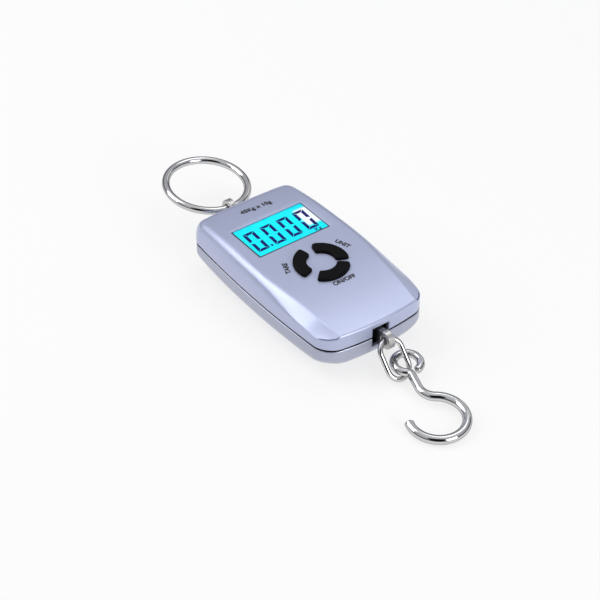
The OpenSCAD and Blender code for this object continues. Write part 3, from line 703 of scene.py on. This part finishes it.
# Keys: three black silicone rubber keys in a ring, each a part ring with a soft domed top.
# They stand through close openings in the front housing and are pressed straight down onto the board.
black_rubber = mottled("black_rubber", (0.001, 0.001, 0.0015), (0.003, 0.003, 0.004), 250, (0.5, 0.62),
                       detail=2.0, specular=0.09)
nodes, links = black_rubber.node_tree.nodes, black_rubber.node_tree.links
grip = value_node(nodes, "ShaderNodeBump", Strength=0.1, Distance=0.00004)
links.new(noise(nodes, links, 5000.0, 2.0), grip.inputs["Height"])
links.new(grip.outputs["Normal"], nodes["Principled BSDF"].inputs["Normal"])

key_top, key_low, key_dome = 1.25, -3.2, 0.6
for name, middle in key_angles.items():
    bm = key_form(middle, [(key_low, 0.0), (key_top, 0.0)], 1.0, key_dome)
    bm.transform(key_frame)
    key = as_object(bm, "key_cap_" + name)
    finish_faces(key)
    key.data.materials.append(black_rubber)
    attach(key, "key_" + name)
    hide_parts("button_" + name)

# Ring, chain link and hook: bent steel wire, welded or closed up, polished and nickel-chrome plated.
# The ring and the link pass through the hangers' eyes, and the hook's own eye hangs in the link.
bright_plate = mottled("bright_plate", (0.56, 0.56, 0.565), (0.66, 0.66, 0.665), 500, (0.03, 0.08),
                       detail=4.0, metallic=1.0)
bright_plate.node_tree.nodes["Principled BSDF"].inputs["Specular Tint"].default_value = (0.4, 0.4, 0.42, 1)

wire_sides = 28


def wire_end(bm, centre, radius):
    """The first ring of a wire that sets off along -Y in its own plane."""
    turned = Matrix.Translation(centre) @ Matrix.Rotation(math.pi / 2, 4, "X")
    made = bmesh.ops.create_circle(bm, cap_ends=False, segments=wire_sides, radius=radius,
                                   matrix=turned)["verts"]
    return made + list({e for v in made for e in v.link_edges})


def resize(ring, radius):
    """Gives a ring of the wire its radius."""
    verts = verts_of(ring)
    middle = sum((v.co for v in verts), Vector()) / len(verts)
    for v in verts:
        v.co = middle + (v.co - middle).normalized() * radius


def wire_bend(bm, ring, centre, degrees, steps, radius_from, radius_to):
    """Carries the wire round a centre in its plane, counted anticlockwise."""
    angle = math.radians(degrees / steps)
    for k in range(steps):
        ring = bmesh.ops.spin(bm, geom=ring, cent=centre, axis=(0, 0, 1), angle=angle, steps=1,
                              use_merge=False)["geom_last"]
        resize(ring, mix(radius_from, radius_to, (k + 1) / steps))
    return ring


def wire_run(bm, ring, step, steps, radius_from, radius_to):
    """Carries the wire straight on."""
    for k in range(steps):
        edges = [g for g in ring if isinstance(g, bmesh.types.BMEdge)]
        made = bmesh.ops.extrude_edge_only(bm, edges=edges)["geom"]
        ring = [g for g in made if not isinstance(g, bmesh.types.BMFace)]
        bmesh.ops.translate(bm, verts=verts_of(ring), vec=step / steps)
        resize(ring, mix(radius_from, radius_to, (k + 1) / steps))
    return ring


def wire_piece(bm, place, name, body, node):
    """Joins or caps the bent wire's ends, plates it and lays it in its place."""
    bmesh.ops.remove_doubles(bm, verts=bm.verts, dist=2e-6)
    open_edges = [e for e in bm.edges if e.is_boundary]
    if open_edges:
        caps = bmesh.ops.holes_fill(bm, edges=open_edges, sides=0)["faces"]
        round_edges(bm, {e for f in caps for e in f.edges}, 0.3 * mm, 4)
    bmesh.ops.recalc_face_normals(bm, faces=bm.faces)
    bm.transform(place)
    obj = as_object(bm, name)
    finish_faces(obj, 50)
    obj.data.materials.append(bright_plate)
    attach(obj, body)
    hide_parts(node)


ring_y, link_y = half_l + 5.2, -half_l - 3.25
ring_r, ring_wire, ring_lean, ring_tilt = 16.2 * mm, 1.5 * mm, math.radians(4.5), math.radians(5.5)
ring_place = (Matrix.Translation(Vector((0, ring_y, parting)) * mm) @ Matrix.Rotation(ring_lean, 4, "Y")
              @ Matrix.Rotation(ring_tilt, 4, "X"))
bm = bmesh.new()
ring = wire_end(bm, (ring_r, ring_r, 0), ring_wire)
wire_bend(bm, ring, (0, ring_r, 0), 360, 128, ring_wire, ring_wire)
wire_piece(bm, ring_place, "ring_wire", "ring", "hanging_ring")

link_wire, link_half, link_pitch = 1.0 * mm, 4.55 * mm, 15.2 * mm
link_slope = math.asin((parting * mm - link_wire - 0.2 * mm) / link_pitch)
link_place = Matrix.Translation(Vector((0, link_y, parting)) * mm) @ Matrix.Rotation(link_slope, 4, "X")
bm = bmesh.new()
ring = wire_end(bm, (-link_half, -link_half, 0), link_wire)
ring = wire_run(bm, ring, Vector((0, 2 * link_half - link_pitch, 0)), 4, link_wire, link_wire)
ring = wire_bend(bm, ring, (0, link_half - link_pitch, 0), 180, 32, link_wire, link_wire)
ring = wire_run(bm, ring, Vector((0, link_pitch - 2 * link_half, 0)), 4, link_wire, link_wire)
wire_bend(bm, ring, (0, -link_half, 0), 180, 32, link_wire, link_wire)
wire_piece(bm, link_place, "link_wire", "link", "chain_link")

eye_r, eye_wire, neck_wire, bowl_wire = 4.9 * mm, 1.5 * mm, 1.6 * mm, 1.75 * mm
hook_l, neck_l, neck_x, bowl_r = 28.5 * mm, 13.0 * mm, -0.7 * mm, 10.35 * mm
bend_r = (neck_x ** 2 + (hook_l - neck_l) ** 2 - bowl_r ** 2) / (2 * (bowl_r - neck_x))
bend_a = math.degrees(math.atan2(hook_l - neck_l, bend_r + neck_x))
link_end = Vector((0, link_y * mm - link_pitch * math.cos(link_slope),
                   parting * mm - link_pitch * math.sin(link_slope)))
over_link, eye_rise = math.radians(215), 3.25 * mm
eye_at = link_end + Vector((-eye_r * math.cos(over_link), -eye_r * math.sin(over_link), eye_rise))
hook_tilt, hook_yaw = math.atan((eye_at.z - 1.8 * mm) / (hook_l + bowl_r)), math.radians(-17)
hook_place = (Matrix.Translation(eye_at) @ Matrix.Rotation(hook_yaw, 4, "Z")
              @ Matrix.Rotation(hook_tilt, 4, "X"))
eye_turn, bowl_turn = 67, 185
shoulder = 2.0 * mm
shoulder_y = -math.sqrt((eye_r + shoulder) ** 2 - (shoulder - neck_x) ** 2)
shoulder_a = math.degrees(math.atan2(-shoulder_y, shoulder - neck_x))
bm = bmesh.new()
ring = wire_end(bm, (eye_r, 0, 0), eye_wire)
bmesh.ops.rotate(bm, verts=verts_of(ring), cent=(0, 0, 0),
                 matrix=Matrix.Rotation(math.radians(-eye_turn), 3, "Z"))
ring = wire_bend(bm, ring, (0, 0, 0), eye_turn + 180 + shoulder_a, 72, eye_wire, eye_wire)
ring = wire_bend(bm, ring, (neck_x - shoulder, shoulder_y, 0), -shoulder_a, 12, eye_wire, neck_wire)
ring = wire_run(bm, ring, Vector((0, -neck_l - shoulder_y, 0)), 4, neck_wire, neck_wire)
ring = wire_bend(bm, ring, (neck_x + bend_r, -neck_l, 0), bend_a, 24, neck_wire, bowl_wire)
wire_bend(bm, ring, (0, -hook_l, 0), -bend_a - bowl_turn, 88, bowl_wire, bowl_wire)
wire_piece(bm, hook_place, "hook_wire", "hook_body", "hook")

# Hangers: flat steel plates pinned to the load cell inside, one at each end.
# Each comes out of its slot on edge and ends in a rounded eye; the blanked edges are tumbled soft.
satin_steel = mottled("satin_steel", (0.42, 0.41, 0.41), (0.58, 0.565, 0.565), 3000, (0.26, 0.40),
                      detail=2.0, drawn_out=(1, 0.06, 1), metallic=1.0)

flat, sharp = math.radians(1), math.radians(40)
for node in ("top_hanger", "bottom_hanger"):
    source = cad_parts[node]
    bm = bmesh.new()
    bm.from_mesh(source.data)
    bm.transform(source.matrix_world)
    bmesh.ops.remove_doubles(bm, verts=bm.verts, dist=1e-6)
    bmesh.ops.dissolve_limit(bm, angle_limit=flat, use_dissolve_boundaries=False, verts=bm.verts,
                             edges=bm.edges)
    edges = [e for e in bm.edges if len(e.link_faces) == 2 and e.calc_face_angle() > sharp]
    round_edges(bm, edges, 0.25 * mm, 3)
    plate = as_object(bm, node + "_plate")
    finish_faces(plate, 40, even=True)
    plate.data.materials.append(satin_steel)
    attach(plate, "body")
    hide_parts(node)

# Battery door: a flat cover in the back with a thumb latch and moulded grip ridges.
# It snaps into the rear housing and is sprayed with it.
door_edge = 0.2 * mm
grip_half, grip_end, grip_pitch, grip_wide, grip_deep = 6.0, door_l / 2 - 2.3, 1.5, 0.7, 0.35
bm = bmesh.new()
slab(bm, (-door_w / 2, -door_l / 2, 0), (door_w / 2, door_l / 2, door_t))
round_edges(bm, bm.edges, door_edge, 2)
door = as_object(bm, "door_panel")
door.data.materials.append(rear_paint)
grooves = blocks("grip_grooves", *[((-grip_half, grip_end - grip_wide - grip_pitch * k, -1),
                                    (grip_half, grip_end - grip_pitch * k, grip_deep)) for k in range(7)])
grooves.data.materials.append(rear_paint)
carve(door, grooves)
bm = bmesh.new()
bm.from_mesh(door.data)
made = slab(bm, (-latch_w / 2, door_l / 2 - 0.5, 0.1), (latch_w / 2, door_l / 2 + latch_l, door_t))
round_edges(bm, {e for v in made for e in v.link_edges}, door_edge, 2)
bm.to_mesh(door.data)
bm.free()
finish_faces(door, even=True)
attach(door, "door")
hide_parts("battery_door")

# Inner pieces: board, display frame, load cell, cells, contacts and screws, shown as modelled.
# They are hidden until the door is off, and each keeps the finish of its own stock.


def dress(finish, *names):
    """Gives solids that show as modelled the finish of their stock."""
    for node in names:
        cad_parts[node].data.materials.clear()
        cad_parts[node].data.materials.append(finish)


dress(mottled("milled_alloy", (0.60, 0.61, 0.63), (0.72, 0.73, 0.75), 900, (0.30, 0.42), metallic=1.0),
      "load_cell")
dress(mottled("plated_contact", (0.62, 0.62, 0.61), (0.78, 0.78, 0.77), 700, (0.25, 0.37), metallic=1.0),
      "terminal_contacts", "bridge_contact")
dress(mottled("zinc_screw", (0.40, 0.41, 0.43), (0.56, 0.57, 0.60), 1500, (0.30, 0.42), metallic=1.0),
      "housing_screws", "board_screws", "beam_screws", "hanger_pins")
dress(mottled("solder_mask", (0.01, 0.10, 0.04), (0.02, 0.15, 0.07), 800, (0.30, 0.42)), "circuit_board")
dress(mottled("moulded_epoxy", (0.010, 0.010, 0.011), (0.025, 0.025, 0.027), 2500, (0.50, 0.62)),
      "controller_chip")
dress(mottled("frosted_guide", (0.80, 0.86, 0.88), (0.90, 0.95, 0.96), 400, (0.40, 0.52)), "backlight_panel")
dress(mottled("white_moulding", (0.70, 0.70, 0.68), (0.80, 0.80, 0.78), 600, (0.45, 0.57)), "lcd_frame")
dress(mottled("striped_elastomer", (0.55, 0.22, 0.30), (0.70, 0.35, 0.42), 3000, (0.55, 0.67)), "zebra_strip")
dress(mottled("amber_film", (0.45, 0.20, 0.04), (0.60, 0.30, 0.08), 900, (0.30, 0.42)),
      "strain_gauges", "gauge_lead")
dress(mottled("dark_sleeve", (0.016, 0.018, 0.024), (0.03, 0.032, 0.04), 200, (0.25, 0.37)), "battery_cells")
dress(black_rubber, "keypad_mat")

# Stage: a wide pale floor just under the scale, and an even sky that darkens towards the horizon.
# A black card near the camera puts the dark streaks in the plated wire, and four soft lights do the rest.
floor_white = 0.75
bm = bmesh.new()
bmesh.ops.create_grid(bm, x_segments=1, y_segments=1, size=8.0)
bmesh.ops.translate(bm, verts=bm.verts, vec=(0, 0, -0.1 * mm))
floor = as_object(bm, "floor")
pale_floor, nodes, links, shader = new_material("pale_floor")
shader.inputs["Base Color"].default_value = (0.86, 0.86, 0.86, 1)
shader.inputs["Roughness"].default_value = 0.9
shader.inputs["Specular IOR Level"].default_value = 0.0
ray = nodes.new("ShaderNodeLightPath")
seen = ray.outputs["Is Camera Ray"]
for kind in ("Is Glossy Ray", "Is Transmission Ray"):
    either = nodes.new("ShaderNodeMath")
    either.operation = "MAXIMUM"
    links.new(seen, either.inputs[0])
    links.new(ray.outputs[kind], either.inputs[1])
    seen = either.outputs["Value"]
white = nodes.new("ShaderNodeEmission")
blend = nodes.new("ShaderNodeMixShader")
links.new(span(nodes, links, seen, 0.0, floor_white), blend.inputs[0])
links.new(shader.outputs[0], blend.inputs[1])
links.new(white.outputs[0], blend.inputs[2])
links.new(blend.outputs[0], nodes["Material Output"].inputs["Surface"])
floor.data.materials.append(pale_floor)

world = bpy.data.worlds.new("studio")
bpy.context.scene.world = world
world.use_nodes = True
nodes, links = world.node_tree.nodes, world.node_tree.links
where = nodes.new("ShaderNodeTexCoord")
split = nodes.new("ShaderNodeSeparateXYZ")
links.new(where.outputs["Generated"], split.inputs["Vector"])
sky = nodes.new("ShaderNodeValToRGB")
low, high = sky.color_ramp.elements
low.position, low.color = 0.5, (0.06, 0.06, 0.07, 1)
high.position, high.color = 1.0, (1.0, 1.0, 1.0, 1)
for place, tone in ((0.64, (0.08, 0.08, 0.09, 1)), (0.68, (0.50, 0.505, 0.52, 1)),
                    (0.81, (0.68, 0.695, 0.74, 1)), (0.93, (0.85, 0.86, 0.90, 1))):
    sky.color_ramp.elements.new(place).color = tone
links.new(span(nodes, links, split.outputs["Z"], 0.0, 1.0, -1.0, 1.0), sky.inputs["Fac"])
card = nodes.new("ShaderNodeVectorMath")
card.operation = "DOT_PRODUCT"
card.inputs[1].default_value = (-0.466, -0.628, 0.623)
links.new(where.outputs["Generated"], card.inputs[0])
dim = nodes.new("ShaderNodeVectorMath")
dim.operation = "SCALE"
links.new(sky.outputs["Color"], dim.inputs["Vector"])
links.new(span(nodes, links, card.outputs["Value"], 1.0, 0.02, 0.895, 0.925), dim.inputs["Scale"])
links.new(dim.outputs["Vector"], nodes["Background"].inputs["Color"])
nodes["Background"].inputs["Strength"].default_value = 0.8


def softbox(name, spot, size, power, along=(1, 0, 0)):
    """A soft light that looks at the scale, with its long side turned along a direction."""
    light = bpy.data.lights.new(name, "AREA")
    light.shape = "RECTANGLE"
    light.size, light.size_y = size
    light.energy = power
    obj = bpy.data.objects.new(name, light)
    away = Vector(spot).normalized()
    across = away.cross(Vector(along)).normalized()
    obj.location = spot
    obj.rotation_euler = Matrix((across.cross(away), across, away)).transposed().to_euler()
    bpy.context.scene.collection.objects.link(obj)


softbox("overhead", (0.48, 0.17, 0.92), (0.42, 0.42), 0.95)
softbox("left_rear", (-0.47, 0.51, 0.65), (1.0, 0.55), 4.6, (0.83, -0.1, 0.55))
softbox("front", (0.10, -0.95, 0.38), (0.5, 0.5), 5.0)
softbox("right_fill", (0.95, 0.25, 0.35), (0.5, 0.5), 0.4, (0, 1, 0))

# Camera: stands where the photograph was taken from and looks at the middle of the parting line.
# Its lens gives the photograph's pixels for a millimetre there, and its shift the place in the frame.
azimuth, elevation, stand_off = math.radians(36.605), math.radians(38.543), 690
sensor, pixels, pixels_per_mm, shift = 36.0, 600, 2.681, (-6.298, -28.112)
towards = Vector((-math.sin(azimuth) * math.cos(elevation), -math.cos(azimuth) * math.cos(elevation),
                  math.sin(elevation)))
lens_data = bpy.data.cameras.new("photo_view")
lens_data.sensor_width = sensor
lens_data.lens = sensor * pixels_per_mm * stand_off / pixels
lens_data.shift_x, lens_data.shift_y = shift[0] / pixels, shift[1] / pixels
camera = bpy.data.objects.new("photo_view", lens_data)
camera.location = (Vector((0, 0, parting)) + towards * stand_off) * mm
camera.rotation_euler = (math.pi / 2 - elevation, 0, -azimuth)
bpy.context.scene.collection.objects.link(camera)
bpy.context.scene.camera = camera
bpy.context.scene.view_settings.view_transform = "Standard"
